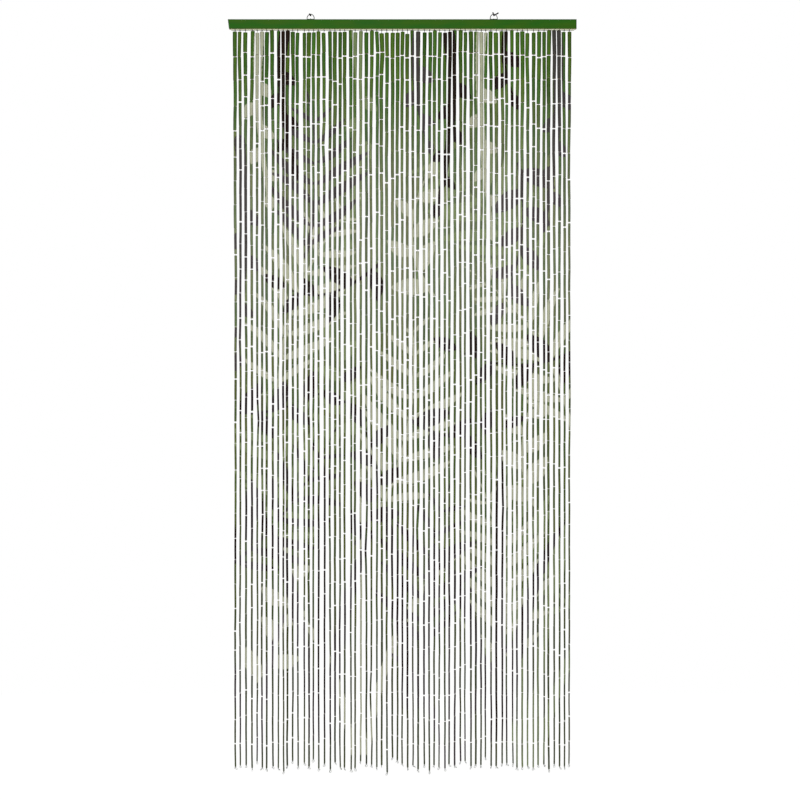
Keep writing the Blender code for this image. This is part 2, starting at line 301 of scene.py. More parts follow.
# Floor and light
FLOOR_Z = -1.985
FLOOR_SIZE = (3.6, 3.0)
FLOOR_GREY = 0.75
FLOOR_GLOW = 0.64
ROOM_COLOUR = (1.0, 0.99, 0.96)
ROOM_STRENGTH = 0.14
LIGHTS = [  # name, place, what it is aimed at, size, watts
    ("key", (-0.5, -4.2, -0.2), (0, 0, -0.9), (1.5, 1.5), 150),
    ("fill", (1.6, -3.6, -1.0), (0, 0, -1.0), (1.2, 1.8), 16),
    ("back", (0.0, 3.0, 0.2), (0, 0, -0.9), (2.6, 2.0), 40),
]


# Strand routes: strand_plans gives the part's own, and main then changes them for fuller, uneven tubes


def uneven(chance, spread):
    """A random offset with this standard deviation, never more than two of them."""
    return max(-2 * spread, min(2 * spread, chance.gauss(0, spread)))


def cane_width(depth):
    """A cane's diameter this far below its first tube's top."""
    share = depth / STRAND_LENGTH
    return CANE_TOP + (CANE_TIP - CANE_TOP) * share + CANE_FLARE * math.exp(-depth / FLARE_LENGTH)


def bow(number, joint):
    """How far to the right the table of bows moves this joint of this strand."""
    return sum(right for strand, first, last, right in BOWS if strand == number and first <= joint <= last)


def strand_plan(number, chance):
    """One strand: its hole, its cane's thickness, each tube's (top, bottom) and each joint's [x, y]."""
    pitch = (LAST_STRAND - FIRST_STRAND) / (STRANDS - 1)
    hole = FIRST_STRAND + number * pitch + uneven(chance, HOLE_SPREAD)
    thickness = 1 + uneven(chance, CANE_SPREAD)
    top = STRIP_BOTTOM - ROOT_LINE - uneven(chance, ROOT_SPREAD)
    tubes, joints = [], []
    side = sway = 0.0
    for joint in range(TUBES + 1):
        spread = SIDE_SPREAD + TOP_SIDE_SPREAD * math.exp(-joint / TOP_JOINTS)
        side = SIDE_KEPT * side + uneven(chance, spread)
        sway = SIDE_KEPT * sway + uneven(chance, DEPTH_SPREAD)
        joints.append([hole + side + bow(number, joint), CURTAIN_Y + sway])
        bottom = top - TUBE_LENGTH - uneven(chance, LENGTH_SPREAD)
        if joint < TUBES:
            tubes.append((top, bottom))
        top = bottom - TUBE_GAP - uneven(chance, GAP_SPREAD)
    return {"hole": hole, "thickness": thickness, "tubes": tubes, "joints": joints}


def push_apart(plans, joint, needs):
    """Pushes neighbouring strands apart at this joint until each pair is as far apart as it needs to be."""
    row = [plan["joints"][joint] for plan in plans]
    for _ in row:
        for left, right, need in zip(row, row[1:], needs):
            lack = need - (right[0] - left[0])
            if lack > 0:
                left[0] -= lack / 2
                right[0] += lack / 2


def part_neighbours(plans):
    """Pushes neighbouring strands apart at each joint until the tubes there clear each other."""
    for joint in range(TUBES + 1):
        width = cane_width(joint * (TUBE_LENGTH + TUBE_GAP))
        shares = [plan["thickness"] for plan in plans]
        needs = [width * (left + right) / 2 + LEAST_APART for left, right in zip(shares, shares[1:])]
        push_apart(plans, joint, needs)


def shift_joint(tubes, joint, shift):
    """Moves the joint above this tube up by this shift."""
    above, below = tubes[joint - 1], tubes[joint]
    tubes[joint - 1] = (above[0], above[1] + shift)
    tubes[joint] = (below[0] + shift, below[1])


def let_rows_drift(plans):
    """Moves each strand's joints up or down, as canes are cut to uneven lengths but strands end level."""
    chance = random.Random(DRIFT_SEED)
    for plan in plans:
        drift = chance.gauss(0, 1)
        for joint in range(1, TUBES):
            drift = DRIFT_KEPT * drift + math.sqrt(1 - DRIFT_KEPT**2) * chance.gauss(0, 1)
            spread = DRIFT_SPREAD * math.sin(math.pi * joint / TUBES) ** DRIFT_SHAPE
            shift_joint(plan["tubes"], joint, max(-2.0, min(2.0, drift)) * spread)


def strand_plans():
    chance = random.Random(SEED)
    plans = [strand_plan(number, chance) for number in range(STRANDS)]
    part_neighbours(plans)
    let_rows_drift(plans)
    return plans


def hang_straighter(plans):
    """Draws the joints between those that the part's bars follow towards a straight line, unless bowed."""
    for number, plan in enumerate(plans):
        joints = plan["joints"]
        bowed = [joint for joint in range(TUBES + 1) if bow(number, joint)]
        kept = sorted({*SET_JOINTS, *bowed})
        for first, last in zip(kept, kept[1:]):
            for joint in range(first + 1, last):
                share = (joint - first) / (last - first)
                for axis in (0, 1):
                    start, end = joints[first][axis], joints[last][axis]
                    straight = start + (end - start) * share
                    joints[joint][axis] = straight + WANDER_KEPT * (joints[joint][axis] - straight)


def clear_neighbours(plans):
    """Pushes neighbouring strands apart at each joint where their fuller tubes would touch."""
    for joint in range(TUBES + 1):
        depth = joint * (TUBE_LENGTH + TUBE_GAP)
        radii = [cane_radius(plan["thickness"], depth) for plan in plans]
        push_apart(plans, joint, [left + right + LEAST_CLEAR for left, right in zip(radii, radii[1:])])


def loosen_rows(plans):
    """Shifts the joints between set ones, as canes are cut to uneven lengths, and leaves uneven gaps."""
    chance = random.Random(SHAPE_SEED)
    for plan in plans:
        tubes = plan["tubes"]
        top, bottom = tubes[0]
        tubes[0] = (min(top + uneven(chance, TOP_SLIP), STRIP_BOTTOM - LEAST_ROOT), bottom)
        for joint in range(1, TUBES):
            slip = uneven(chance, SLIP)
            if joint not in SET_JOINTS:
                shift_joint(tubes, joint, slip)
            power = np.interp(joint, (1, EVEN_GAPS_FROM), GAP_POWER)
            gap = LEAST_GAP + GAP_RANGE * chance.random() ** power
            tubes[joint] = (tubes[joint - 1][1] - gap, tubes[joint][1])


# Materials


class Surface:
    """A material whose nodes are added by short calls, each of which gives back a socket."""

    def __init__(self, name, roughness, metallic=0.0, gloss=0.5):
        self.material = bpy.data.materials.new(name)
        self.material.use_nodes = True
        self.tree = self.material.node_tree
        self.shader = self.tree.nodes["Principled BSDF"]
        self.shader.inputs["Roughness"].default_value = roughness
        self.shader.inputs["Metallic"].default_value = metallic
        self.shader.inputs["Specular IOR Level"].default_value = gloss

    def add(self, kind, inputs, **settings):
        made = self.tree.nodes.new(kind)
        for name, value in settings.items():
            setattr(made, name, value)
        for key, value in inputs.items():
            if isinstance(value, bpy.types.NodeSocket):
                self.tree.links.new(value, made.inputs[key])
            else:
                made.inputs[key].default_value = value
        return made

    def maths(self, operation, *values):
        return self.add("ShaderNodeMath", dict(enumerate(values)), operation=operation).outputs[0]

    def attribute(self, name):
        return self.add("ShaderNodeAttribute", {}, attribute_name=name).outputs["Fac"]

    def place(self, axis=None):
        """The point's place in the object, or one axis of it."""
        whole = self.add("ShaderNodeTexCoord", {}).outputs["Object"]
        if axis is None:
            return whole
        return self.add("ShaderNodeSeparateXYZ", {0: whole}).outputs[axis]

    def noise(self, scale, detail=2.0):
        """Noise from 0 to 1 with this many repeats a metre along each axis."""
        moved = self.add("ShaderNodeMapping", {"Vector": self.place(), "Scale": scale}).outputs[0]
        inputs = {"Vector": moved, "Scale": 1.0, "Detail": detail}
        return self.add("ShaderNodeTexNoise", inputs).outputs["Fac"]

    def ramp(self, value, low, high, start=0.0, end=1.0):
        inputs = {"Value": value, "From Min": low, "From Max": high, "To Min": start, "To Max": end}
        made = self.add("ShaderNodeMapRange", inputs, interpolation_type="SMOOTHSTEP")
        return made.outputs["Result"]

    def mix(self, factor, under, over):
        """The colour over, laid on the colour under by this factor."""
        inputs = {"Factor": factor}
        made = self.add("ShaderNodeMix", inputs, data_type="RGBA")
        for socket, colour in ((made.inputs[6], under), (made.inputs[7], over)):
            if isinstance(colour, bpy.types.NodeSocket):
                self.tree.links.new(colour, socket)
            else:
                socket.default_value = (*colour, 1.0)
        return made.outputs[2]

    def brighten(self, colour, value):
        """The colour times a value that varies over the surface."""
        grey = self.add("ShaderNodeCombineColor", {0: value, 1: value, 2: value}).outputs[0]
        made = self.add("ShaderNodeMix", {"Factor": 1.0}, data_type="RGBA", blend_type="MULTIPLY")
        self.tree.links.new(colour, made.inputs[6])
        self.tree.links.new(grey, made.inputs[7])
        return made.outputs[2]

    def finish(self, colour=None, roughness=None, height=None, relief=0.0002, strength=0.5):
        if colour is not None:
            self.tree.links.new(colour, self.shader.inputs["Base Color"])
        if roughness is not None:
            self.tree.links.new(roughness, self.shader.inputs["Roughness"])
        if height is not None:
            inputs = {"Height": height, "Distance": relief, "Strength": strength}
            bump = self.add("ShaderNodeBump", inputs)
            self.tree.links.new(bump.outputs[0], self.shader.inputs["Normal"])
        return self.material


def painted_bamboo():
    """Green ground that differs from tube to tube, the painted motifs, and a fine grain along the cane."""
    surface = Surface("painted_bamboo", 0.55, gloss=0.06)
    grain = surface.noise((900, 900, 14), 3.0)
    blotch = surface.noise((70, 70, 45), 2.0)
    brush = surface.noise((240, 240, 110), 3.0)
    tone, hue = surface.attribute("tone"), surface.attribute("hue")
    warmth = surface.maths("ADD", hue, surface.ramp(blotch, 0.3, 0.7, -0.15, 0.15))
    ground = surface.mix(warmth, *TOP_GROUND)
    for cool, olive, start, end in LOWER_GROUNDS:
        turned = surface.ramp(surface.place(2), end, start, 1.0, 0.0)
        ground = surface.mix(turned, ground, surface.mix(warmth, cool, olive))
    grained = surface.ramp(grain, 0.25, 0.75, 0.80, 1.16)
    shade = surface.maths("ADD", surface.maths("MULTIPLY", tone, TONE_STRENGTH), grained)
    colour = surface.brighten(ground, shade)
    edge = surface.ramp(surface.noise((600, 600, 140), 2.0), 0.2, 0.8, -0.0010, 0.0010)
    for name, (ink, hides) in INKS.items():
        inside = surface.ramp(surface.maths("ADD", surface.attribute(name), edge), -0.0006, 0.0006)
        cover = surface.ramp(brush, 0.15, 0.5, 0.92 * hides, hides)
        colour = surface.mix(surface.maths("MULTIPLY", inside, cover), colour, ink)
    chip = surface.maths("ADD", surface.attribute("end"), surface.ramp(brush, 0.2, 0.8, -0.0004, 0.0010))
    colour = surface.mix(surface.ramp(chip, -0.0002, 0.0001, 1.0, 0.0), colour, RAW_BAMBOO)
    # Darker towards the bottom.
    dimming = surface.ramp(surface.place(2), *DULL_BETWEEN, DULL_TO, 1.0)
    mottled = surface.ramp(blotch, 0.2, 0.8, 0.9, 1.1)
    colour = surface.brighten(colour, surface.maths("MULTIPLY", dimming, mottled))
    rough = surface.ramp(blotch, 0.2, 0.8, 0.46, 0.62)
    return surface.finish(colour, rough, grain, 0.0002, 0.4)


def fibrous(name, roughness, scale, detail, low, high, relief, strength):
    """A matt material whose colour and height follow a fine grain."""
    surface = Surface(name, roughness, gloss=0.2)
    grain = surface.noise(scale, detail)
    colour = surface.mix(surface.ramp(grain, 0.3, 0.7), low, high)
    return surface.finish(colour, None, grain, relief, strength)


def raw_bamboo():
    return fibrous("raw_bamboo", 0.7, (2600, 2600, 60), 2.0, (0.30, 0.21, 0.10), RAW_BAMBOO, 0.0001, 0.5)


def pale_wood():
    low, high = (0.46, 0.47, 0.33), (0.62, 0.64, 0.50)
    return fibrous("pale_wood", 0.7, (12, 700, 700), 4.0, low, high, 0.0002, 0.4)


def tie_cord():
    low, high = (0.030, 0.035, 0.012), (0.085, 0.085, 0.040)
    return fibrous("tie_cord", 0.65, (900, 900, 2400), 2.0, low, high, 0.0002, 0.6)


def green_paint():
    """Brushed green paint, thin and darker on the lath's edges and ends, where the darker green is painted
    shade as well, over wood that is bare underneath.
    """
    surface = Surface("green_paint", 0.5, gloss=0.06)
    streak = surface.noise((6, 160, 420), 4.0)
    cloud = surface.noise((14, 60, 60), 2.0)
    grain = surface.noise((9, 900, 900), 3.0)
    paint_and_shade = surface.mix(surface.ramp(cloud, 0.3, 0.7), (0.014, 0.100, 0.003), (0.028, 0.102, 0.002))
    paint_and_shade = surface.brighten(paint_and_shade, surface.ramp(streak, 0.25, 0.75, 0.88, 1.08))
    height = surface.place(2)
    along = surface.place(0)
    across = surface.maths("SUBTRACT", surface.place(1), CURTAIN_Y)
    halves = ((BATTEN_LENGTH - BATTEN_END_SLANT) / 2, BATTEN_DEPTH / 2, BATTEN_HEIGHT / 2)
    from_end, from_face, from_top = [
        surface.maths("SUBTRACT", half, surface.maths("ABSOLUTE", offset))
        for half, offset in zip(halves, (along, across, height))
    ]
    nearer = surface.maths("MINIMUM", from_face, from_top)
    farther = surface.maths("MAXIMUM", from_face, from_top)
    from_edge = surface.maths("MAXIMUM", nearer, surface.maths("MINIMUM", farther, from_end))
    # Darker green along the lath's edges and ends: thin paint there, and painted shade of the edges.
    dimming = surface.maths("ADD", from_edge, surface.ramp(streak, 0.3, 0.7, -0.0004, 0.0004))
    paint_and_shade = surface.mix(surface.ramp(dimming, 0.0003, 0.0014, 0.6, 0.0), paint_and_shade, (0.012, 0.030, 0.008))
    on_top = surface.ramp(height, BATTEN_TOP - 0.0018, BATTEN_TOP - 0.0008)
    # Dark paint and painted shadow of each ring's bar on the batten's top edge.
    for middle, reach, cover in BAR_SMEARS_AND_SHADOWS:
        away = surface.maths("ABSOLUTE", surface.maths("SUBTRACT", along, middle))
        near = surface.ramp(away, reach - 0.0010, reach + 0.0004, cover, 0.0)
        paint_and_shade = surface.mix(surface.maths("MULTIPLY", near, on_top), paint_and_shade, BAR_PAINT_AND_SHADE)
    bare = surface.mix(surface.ramp(grain, 0.3, 0.7), (0.44, 0.34, 0.20), (0.58, 0.47, 0.30))
    under = surface.ramp(height, -BATTEN_HEIGHT / 2 + 0.0001, -BATTEN_HEIGHT / 2 + 0.0004, 1.0, 0.0)
    colour = surface.mix(under, paint_and_shade, bare)
    rough = surface.ramp(streak, 0.2, 0.8, 0.42, 0.58)
    return surface.finish(colour, rough, streak, 0.0003, 0.35)


def clear_line(name, dark, light):
    surface = Surface(name, 0.22)
    surface.shader.inputs["Transmission Weight"].default_value = 0.35
    surface.shader.inputs["IOR"].default_value = 1.45
    haze = surface.noise((300, 300, 300), 2.0)
    colour = surface.mix(surface.ramp(haze, 0.3, 0.7), dark, light)
    return surface.finish(colour)


def wire(name, bright, dull, metallic, paint_and_shade_below=None):
    """Drawn wire. Where it lies on the batten, it carries paint up to this height, darker than the batten's
    as painted shade of the bar.
    """
    surface = Surface(name, 0.32, metallic, 0.3)
    drawn = surface.noise((500, 500, 500), 3.0)
    colour = surface.mix(surface.ramp(drawn, 0.35, 0.65), dull, bright)
    if paint_and_shade_below is not None:
        # Up to this height the wire is near-black green: paint, darkened as painted shade of the bar.
        dark_height = surface.maths("ADD", surface.place(2), surface.ramp(drawn, 0.2, 0.8, -0.0006, 0.0006))
        paint_and_shade = surface.ramp(dark_height, paint_and_shade_below - 0.0002, paint_and_shade_below + 0.0002, 1.0, 0.0)
        colour = surface.mix(paint_and_shade, colour, BAR_PAINT_AND_SHADE)
        bare = surface.maths("SUBTRACT", 1.0, paint_and_shade)
        surface.tree.links.new(bare, surface.shader.inputs["Metallic"])
    rough = surface.ramp(drawn, 0.2, 0.8, 0.24, 0.46)
    return surface.finish(colour, rough, drawn, 0.0001, 0.3)


# Painted motifs. Each gives, for points on the curtain, how far inside its outline they lie.


def lay(shapes, points, ink, low, high, depth_inside):
    """Adds one outline to an ink: depth_inside gives metres inside for the points between low and high."""
    near = np.all((points > low) & (points < high), axis=1).nonzero()[0]
    if len(near):
        shapes[ink][near] = np.maximum(shapes[ink][near], depth_inside(points[near]))


def curve_point(row, t):
    """A point on the row's curve from its root over its via point to its tip."""
    root, via, tip = (np.array(place) for place in (row.root, row.via, row.tip))
    return (1 - t) ** 2 * root + 2 * t * (1 - t) * via + t**2 * tip


def lay_blade(shapes, points, row, half_width):
    """A stroke along the row's curve. half_width gives its half width at t from 0 to 1."""
    along_stroke = np.linspace(0, 1, STROKE_STEPS)
    middle = np.array([curve_point(row, t) for t in along_stroke])
    halves = np.array([half_width(t) for t in along_stroke])
    reach = halves.max() + MARGIN

    def depth_inside(near):
        best = np.full(len(near), FAR_OUTSIDE)
        for start, end, half in zip(middle, middle[1:], halves):
            along = end - start
            t = np.clip((near - start) @ along / (along @ along), 0, 1)
            away = np.linalg.norm(near - start - t[:, None] * along, axis=1)
            best = np.maximum(best, half - away)
        return best

    lay(shapes, points, row.ink, middle.min(0) - reach, middle.max(0) + reach, depth_inside)


def lay_leaf(shapes, points, ink, foot, turn, length, width, curl):
    """A pointed leaf from its foot. turn is its direction and curl bends its middle line aside."""
    along = np.array((math.cos(turn), math.sin(turn)))
    across = np.array((-along[1], along[0]))
    reach = width + MARGIN
    ends = np.array((foot, foot + along * length))

    def depth_inside(near):
        offset = near - foot
        t = offset @ along / length
        held = np.clip(t, 0, 1)
        aside = offset @ across - curl * length * 4 * held * (1 - held)
        half = width / 2 * np.sin(np.pi * held**0.85) ** 0.8
        return half - np.hypot(aside, np.abs(t - held) * length)

    lay(shapes, points, ink, ends.min(0) - reach, ends.max(0) + reach, depth_inside)


def lay_stem_with_leaves(shapes, points, row, style, chance):
    """A thin stem with leaves in pairs, or on one side and the other in turn, and one at its tip."""
    lay_blade(shapes, points, row, lambda t: row.width / 2 * (1.2 - 0.8 * t))
    run = math.dist(row.root, row.via) + math.dist(row.via, row.tip)
    count = round(run * (1 - style.first_leaf) / style.spacing)
    for number in range(count + 1):
        t = style.first_leaf + (1 - style.first_leaf) * number / count
        foot = curve_point(row, t)
        ahead = curve_point(row, min(t + AHEAD, 1.0)) - curve_point(row, t - AHEAD)
        sides = (-1, 1) if style.paired else (1 if number % 2 else -1,)
        for side in sides if number < count else (0,):
            turn = math.atan2(ahead[1], ahead[0]) + side * style.angle * chance.uniform(*ANGLE_SPREAD)
            held = frond_length(t) if style.paired else 1.0 - LEAF_LOSS * t
            length = style.leaf * held * chance.uniform(*LEAF_SPREAD)
            width = length * style.width_share * chance.uniform(*LEAF_WIDTH_SPREAD)
            curl = chance.uniform(-LEAF_CURL, LEAF_CURL)
            lay_leaf(shapes, points, row.ink, foot, turn, length, width, curl)


def frond_length(t):
    """The length of a fern's leaves along its stem: longest low down and short at the tip."""
    return 0.15 + 0.85 * math.sin(math.pi * (0.12 + 0.86 * t) ** 0.75)


def lay_tuft(shapes, points, tuft, chance):
    """Blades of grass that fan out of one root and arch over."""
    root = np.array(tuft.root)
    for blade in range(tuft.blades):
        share = 2 * blade / (tuft.blades - 1) - 1
        lean = tuft.fan * (share + chance.uniform(-BLADE_LEAN, BLADE_LEAN))
        length = tuft.length * chance.uniform(*BLADE_SPREAD) * (1 - OUTER_LOSS * abs(share))
        foot = root + np.array((ROOT_REACH * share, 0.0))
        arch = ARCH_LEAN * lean
        via = foot + ARCH_AT * length * np.array((math.sin(arch), -math.cos(arch)))
        tip = foot + length * np.array((math.sin(lean), DROOP * abs(math.sin(lean)) - math.cos(lean)))
        stroke = Stroke(tuft.ink, foot, via, tip, tuft.width)
        lay_blade(shapes, points, stroke, lambda t: tuft.width / 2 * (0.4 + t) * (1 - t) ** 0.7)


def motif_depths(points):
    """For each ink, how far inside its motifs each point (right, below) lies, in metres."""
    chance = random.Random(MOTIF_SEED)
    shapes = {ink: np.full(len(points), FAR_OUTSIDE) for ink in INKS}
    for rows, style in ((FERNS, FERN_STYLE), (VINES, VINE_STYLE), (SPRIGS, SPRIG_STYLE)):
        for row in rows:
            lay_stem_with_leaves(shapes, points, Stroke(*row), style, chance)
    for row in TUFTS:
        lay_tuft(shapes, points, Tuft(*row), chance)
    return shapes


# Meshes


def mesh_piece(name, vertices, faces, materials):
    """A smooth-shaded mesh piece that rides with the curtain."""
    mesh = bpy.data.meshes.new(name)
    mesh.from_pydata(vertices, [], faces)
    for finish in materials:
        mesh.materials.append(finish)
    mesh.shade_smooth()
    mesh.set_sharp_from_angle(angle=math.radians(50))
    piece = bpy.data.objects.new(name, mesh)
    bpy.context.scene.collection.objects.link(piece)
    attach(piece, "root")
    return piece


def grid_faces(rings, sides, closed=False):
    """Quads between neighbouring rings of vertices, and round the end to the first ring if closed."""
    faces = []
    for ring in range(rings if closed else rings - 1):
        after = (ring + 1) % rings
        for side in range(sides):
            n = (side + 1) % sides
            faces.append((ring * sides + side, after * sides + side, after * sides + n, ring * sides + n))
    return faces


def capped_faces(rings, sides):
    """Quads between neighbouring rings of vertices, and a face over each end."""
    last = (rings - 1) * sides
    return [*grid_faces(rings, sides), tuple(range(sides)), tuple(reversed(range(last, last + sides)))]


class Pile:
    """Vertices and faces of many small shapes that go into one piece."""

    def __init__(self):
        self.vertices, self.faces = [], []

    def add(self, vertices, faces):
        start = len(self.vertices)
        self.vertices.extend(vertices)
        self.faces.extend(tuple(start + v for v in face) for face in faces)

    def add_wire(self, points, radii, sides=8, closed=False):
        """Round wire along the points, with one radius for all of them or one for each."""
        points = [Vector(point) for point in points]
        if not isinstance(radii, (list, tuple)):
            radii = [radii] * len(points)
        vertices, across = [], None
        for k, point in enumerate(points):
            before = points[k - 1] if k or closed else point
            after = points[(k + 1) % len(points)] if k + 1 < len(points) or closed else point
            along = (after - before).normalized()
            if across is None:
                across = along.orthogonal().normalized()
            across = (across - across.dot(along) * along).normalized()
            up = along.cross(across)
            for side in range(sides):
                turn = -2 * math.pi * side / sides
                vertices.append(point + radii[k] * (math.cos(turn) * across + math.sin(turn) * up))
        count = len(points)
        self.add(vertices, grid_faces(count, sides, True) if closed else capped_faces(count, sides))

    def piece(self, name, finish, slot):
        return mesh_piece(name, self.vertices, self.faces, [finish])


# Tubes


def cane_radius(thickness, depth):
    """A tube's radius at this depth. Canes differ most at mid height."""
    share = depth / STRAND_LENGTH
    kept = np.interp(share, TOP_MIDDLE_TIP, SPREAD_KEPT)
    full = np.interp(share, TOP_MIDDLE_TIP, CANE_FULL)
    return full * (1 + (thickness - 1) * kept) * cane_width(depth) / 2


def tube_table(plans, chance):
    """Arrays with a row for each tube of these strands: where it is and how its shape strays."""
    rows = []
    for plan in plans:
        first_top = plan["tubes"][0][0]
        strand_tone, strand_hue = chance.gauss(0, STRAND_TONE), chance.gauss(HUE_MIDDLE, HUE_SPREAD)
        for (top, bottom), upper, lower in zip(plan["tubes"], plan["joints"], plan["joints"][1:]):
            uneven_cane = 1 - chance.uniform(-CANE_UNEVEN, CANE_UNEVEN)
            radii = [uneven_cane * cane_radius(plan["thickness"], first_top - z) for z in (top, bottom)]
            slack = [chance.uniform(-SLACK, SLACK) for _ in range(4)]
            has_node = chance.random() < NODE_CHANCE
            rows.append({
                "top": (upper[0] + slack[0], upper[1] + slack[1], top),
                "bottom": (lower[0] + slack[2], lower[1] + slack[3], bottom),
                "radii": radii,
                "bend": [chance.uniform(-TUBE_BEND, TUBE_BEND) for _ in range(2)],
                "oval": chance.uniform(0, OVAL),
                "turn": chance.uniform(0, math.pi),
                "node": chance.uniform(*NODE_BETWEEN) if has_node else 0.0,
                "tone": strand_tone + chance.gauss(0, TUBE_TONE),
                "hue": min(1.0, max(0.0, chance.gauss(strand_hue, HUE_SPREAD))),
            })
    return {key: np.array([row[key] for row in rows]) for key in rows[0]}


def tube_profiles(table):
    """Each ring's place along its tube, from 0 to 1, and how much its radius is scaled there."""
    count = len(table["node"])
    places = np.tile(np.array(RING_PLACES), (count, 1))
    scales = np.ones_like(places)
    pitch = RING_PLACES[3] - RING_PLACES[2]
    for tube in np.flatnonzero(table["node"]):
        middle = table["node"][tube]
        ring = 1 + round(middle / pitch)
        places[tube, ring - 1 : ring + 2] = (middle - NODE_REACH, middle, middle + NODE_REACH)
        scales[tube, ring - 1 : ring + 2] = (1 + NODE_SHOULDER, 1 + NODE_RISE, 1 + NODE_SHOULDER)
    return places, scales


def tube_vertices(table):
    """(tube, ring, side, xyz) of the outer rings from top to bottom, then the bore's bottom and top."""
    places, scales = tube_profiles(table)
    t = places[:, :, None]
    middle = table["top"][:, None] * (1 - t) + table["bottom"][:, None] * t
    middle[:, :, :2] += table["bend"][:, None] * np.sin(np.pi * t)
    radius = table["radii"][:, :1] * (1 - places) + table["radii"][:, 1:] * places
    outer = radius * scales
    outer[:, (0, -1)] -= RIM_EDGE
    bore = radius[:, (-1, 0)] * BORE_SHARE
    middle = np.concatenate((middle, middle[:, (-1, 0)]), axis=1)
    radius = np.concatenate((outer, bore), axis=1)
    angle = np.arange(TUBE_SIDES) * 2 * np.pi / TUBE_SIDES
    oval = 1 + table["oval"][:, None] * np.cos(2 * (angle - table["turn"][:, None]))
    reach = radius[:, :, None] * oval[:, None]
    found = np.repeat(middle[:, :, None], TUBE_SIDES, axis=2)
    found[..., 0] += reach * np.cos(angle)
    found[..., 1] += reach * np.sin(angle)
    return found, places


def tube_bake_map(count):
    """Each quad corner's place on the bake map, as (tube, ring, side, corner, uv)."""
    rings = len(RING_PLACES) + 2
    columns = STRANDS_A_PIECE * COLUMNS_A_STRAND
    across = np.empty((rings, TUBE_SIDES, 4))
    down = np.empty((rings, TUBE_SIDES, 4))
    side = (np.arange(TUBE_SIDES)[:, None] + np.array((0, 0, 1, 1))) / TUBE_SIDES
    ring_places = np.array(RING_PLACES)
    for ring in range(rings - 3):
        across[ring] = OUTSIDE_ACROSS[0] + OUTSIDE_ACROSS[1] * side
        down[ring] = LENGTH_DOWN[0] + LENGTH_DOWN[1] * ring_places[ring + np.array((0, 1, 1, 0))]
    for ring, start in ((rings - 3, LOWER_RIM_DOWN), (rings - 1, UPPER_RIM_DOWN)):
        across[ring] = RIM_ACROSS[0] + RIM_ACROSS[1] * np.array((0, 1, 1, 0))
        down[ring] = start + RIM_LENGTH * side
    across[rings - 2] = BORE_ACROSS[0] + BORE_ACROSS[1] * side
    down[rings - 2] = LENGTH_DOWN[0] + LENGTH_DOWN[1] * np.array((1, 0, 0, 1))
    tube = np.arange(count)
    strand, place = tube // TUBES, tube % TUBES
    column = strand * COLUMNS_A_STRAND + place // TUBES_A_COLUMN
    u = (column[:, None, None, None] + across) / columns
    v = (place[:, None, None, None] % TUBES_A_COLUMN + down) / TUBES_A_COLUMN
    return np.stack((u, v), axis=-1)


def set_attribute(mesh, name, values):
    mesh.attributes.new(name, "FLOAT", "POINT").data.foreach_set("value", values.astype(np.float32).ravel())


def make_tubes(name, plans, chance, finishes):
    """One piece with all the tubes of some neighbouring strands."""
    table = tube_table(plans, chance)
    vertices, places = tube_vertices(table)
    count, rings = vertices.shape[:2]
    faces = np.array(grid_faces(rings, TUBE_SIDES, closed=True))
    faces = (faces[None] + np.arange(count)[:, None, None] * rings * TUBE_SIDES).reshape(-1, 4)
    piece = mesh_piece(name, vertices.reshape(-1, 3), faces.tolist(), finishes)
    mesh = piece.data
    inner = np.tile(np.repeat(np.arange(rings) >= rings - 3, TUBE_SIDES), count)
    mesh.polygons.foreach_set("material_index", inner.astype(np.int32))
    bake_map = tube_bake_map(count).astype(np.float32).ravel()
    mesh.uv_layers.new(name="OFBake").data.foreach_set("uv", bake_map)
    flat = vertices.reshape(-1, 3)
    for ink, depths in motif_depths(np.column_stack((flat[:, 0], -flat[:, 2]))).items():
        set_attribute(mesh, ink, depths)
    lengths = table["top"][:, 2] - table["bottom"][:, 2]
    from_end = np.minimum(places, 1 - places) * lengths[:, None]
    from_end = np.concatenate((from_end, np.zeros((count, 2))), axis=1)
    set_attribute(mesh, "end", np.repeat(from_end, TUBE_SIDES, axis=1))
    for key in ("tone", "hue"):
        set_attribute(mesh, key, np.repeat(table[key], rings * TUBE_SIDES))
    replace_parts(piece, "strands")


def make_all_tubes(plans):
    chance = random.Random(SHAPE_SEED)
    finishes = [painted_bamboo(), raw_bamboo()]
    for first in range(0, STRANDS, STRANDS_A_PIECE):
        name = f"tubes_{first // STRANDS_A_PIECE + 1:02d}"
        make_tubes(name, plans[first : first + STRANDS_A_PIECE], chance, finishes)


# What the tubes hang on


def make_strip():
    """The pale strip under the batten, with eased edges."""
    bm = bmesh.new()
    size = (STRIP_RIGHT - STRIP_LEFT, STRIP_DEPTH, STRIP_HEIGHT)
    centre = ((STRIP_LEFT + STRIP_RIGHT) / 2, CURTAIN_Y, STRIP_BOTTOM + STRIP_HEIGHT / 2)
    bmesh.ops.create_cube(bm, size=1.0, matrix=Matrix.Translation(centre) @ Matrix.Diagonal((*size, 1.0)))
    bmesh.ops.bevel(bm, geom=bm.edges[:], offset=STRIP_EDGE, segments=2, profile=0.5, affect="EDGES")
    bm.verts.ensure_lookup_table()
    vertices = [vert.co.copy() for vert in bm.verts]
    faces = [tuple(vert.index for vert in face.verts) for face in bm.faces]
    bm.free()
    strip = mesh_piece("root_strip", vertices, faces, [pale_wood()])
    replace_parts(strip, "strands")


